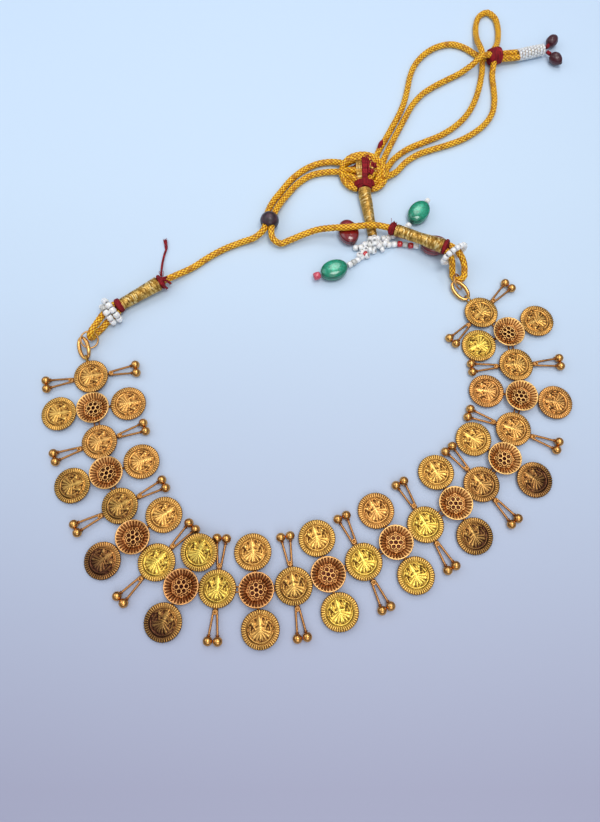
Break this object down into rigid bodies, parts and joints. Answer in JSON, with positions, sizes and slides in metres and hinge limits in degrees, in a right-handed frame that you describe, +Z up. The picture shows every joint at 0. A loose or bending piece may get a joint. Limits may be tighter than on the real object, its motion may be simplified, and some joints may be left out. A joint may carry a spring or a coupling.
{
  "type": "necklace",
  "caption": "Coin choker lying flat: fluted relief coins, dished flower cups and pairs of ball-headed pins in a curved row, on an adjustable knotted cord with a bead tassel.",
  "frame": {"origin": "middle of the foot of the middle flower cup, on the table", "axes": "X to the right of the picture, Y from the row towards the cord, Z up from the table"},
  "size_m": [0.1978, 0.2571, 0.0112],
  "materials": {
    "gold": "warm antique gold plating, soft shine",
    "antique_gold": "dark oxidised gold tone",
    "cord": "braided gold and red thread",
    "zari": "wound gold thread with a metallic shine",
    "red_thread": "wound dark red thread",
    "wood_bead": "dark turned wood",
    "white_bead": "glossy seed beads",
    "pink_bead": "glossy round beads",
    "green_stone": "polished oval stone",
    "red_stone": "polished oval stone",
    "maroon_bead": "polished oval bead"
  },
  "bodies": {
    "root": {"coin_pin_01": "gold", "flower_unit_01": "gold", "coin_pin_02": "gold", "flower_unit_02": "gold", "coin_pin_03": "gold", "flower_unit_03": "gold", "coin_pin_04": "gold", "flower_unit_04": "gold", "coin_pin_05": "gold", "flower_unit_05": "gold", "coin_pin_06": "gold", "flower_unit_06": "gold", "coin_pin_07": "gold", "flower_unit_07": "gold", "coin_pin_08": "gold", "flower_unit_08": "gold", "coin_pin_09": "gold", "flower_unit_09": "gold", "coin_pin_10": "gold", "flower_unit_10": "gold", "coin_pin_11": "gold", "flower_unit_11": "gold", "coin_pin_12": "gold", "link_rings": "antique_gold", "end_hook_left": "gold", "end_hook_right": "gold", "end_ring_left": "gold", "end_ring_right": "gold", "end_loop_left": "cord", "end_loop_right": "cord", "seed_beads_left": "white_bead", "seed_beads_right": "white_bead", "threads_left": "red_thread", "threads_right": "red_thread", "zari_sleeve_left": "zari", "zari_sleeve_right": "zari", "cord_left": "cord", "cord_right": "cord", "slider_bead": "wood_bead", "cord_knot": "cord", "strand_a": "cord", "strand_b": "cord", "strand_c": "cord", "strand_d": "cord", "top_wrap": "red_thread", "tail_cords": "cord", "tail_sleeve": "white_bead", "tail_threads": "red_thread", "tail_beads": "maroon_bead", "stem_band": "red_thread", "tassel_stem": "zari", "bead_cluster": "white_bead", "bead_strings": "white_bead", "green_stone_a": "green_stone", "green_stone_b": "green_stone", "red_stone_a": "red_stone", "red_stone_b": "red_stone", "tip_beads": "pink_bead"}
  },
  "joints": []
}
